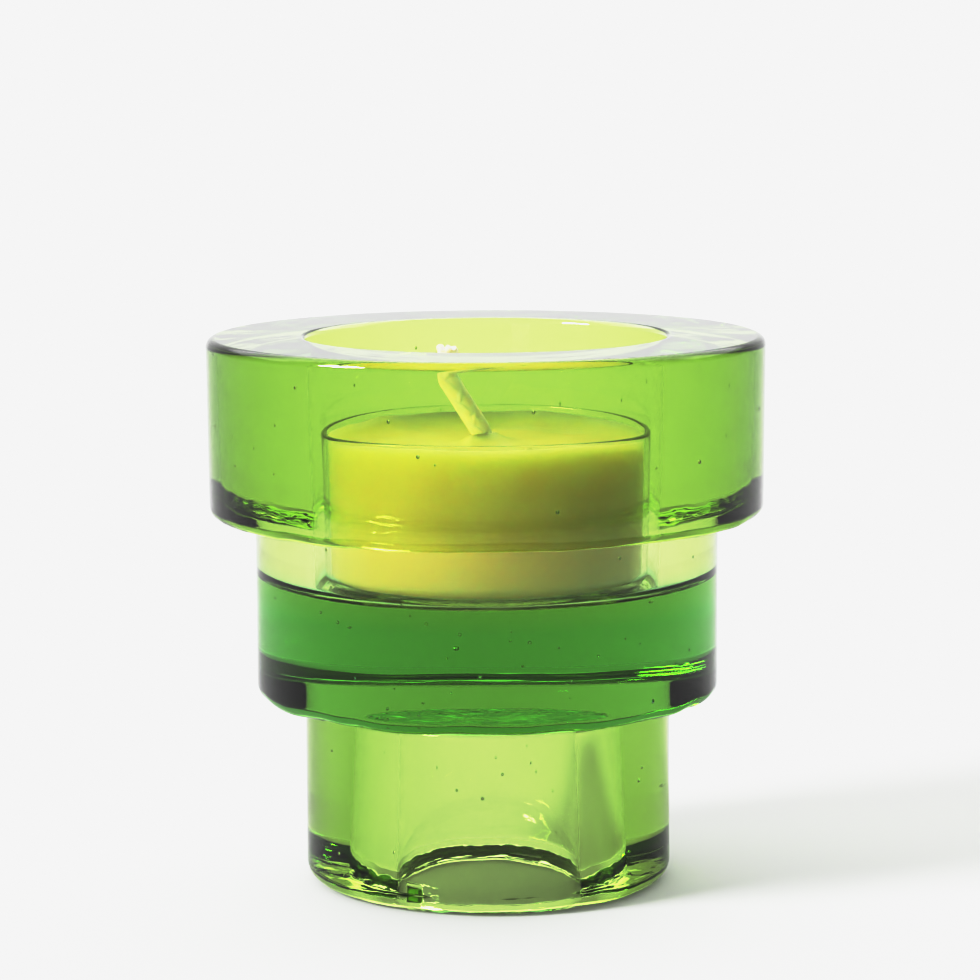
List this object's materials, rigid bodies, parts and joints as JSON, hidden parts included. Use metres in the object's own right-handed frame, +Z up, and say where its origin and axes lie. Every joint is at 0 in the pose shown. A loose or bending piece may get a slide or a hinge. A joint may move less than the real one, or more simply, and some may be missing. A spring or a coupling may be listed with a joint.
{
  "type": "tealight holder",
  "caption": "Stepped green pressed-glass candle holder in round tiers, with a tealight in its top cavity and a taper socket in its foot.",
  "frame": {"origin": "middle of the underside of the foot, on the surface that it stands on", "axes": "+Z up along the axis that the glass, the cup and the wax are turned about; the wick leans towards -X; front is -Y"},
  "size_m": [0.065, 0.065, 0.0641],
  "materials": {
    "green_glass": "fire-polished clear green",
    "clear_cup": "clear and glossy",
    "wax": "translucent, softly waxy",
    "cotton": "braided and wax-soaked",
    "tinned_steel": "stamped and tinned"
  },
  "bodies": {
    "holder": {"glass_holder": "green_glass"},
    "cup": {"tealight_cup": "clear_cup"},
    "candle": {"candle_wax": "wax", "wick": "cotton", "wick_sustainer": "tinned_steel"}
  },
  "joints": [
    {"name": "tealight_lift", "type": "slide", "parent": "holder", "child": "cup", "axis": [0, 0, 1], "range_m": [0, 0.045]},
    {"name": "candle_lift", "type": "slide", "parent": "cup", "child": "candle", "axis": [0, 0, 1], "range_m": [0, 0.03]}
  ]
}
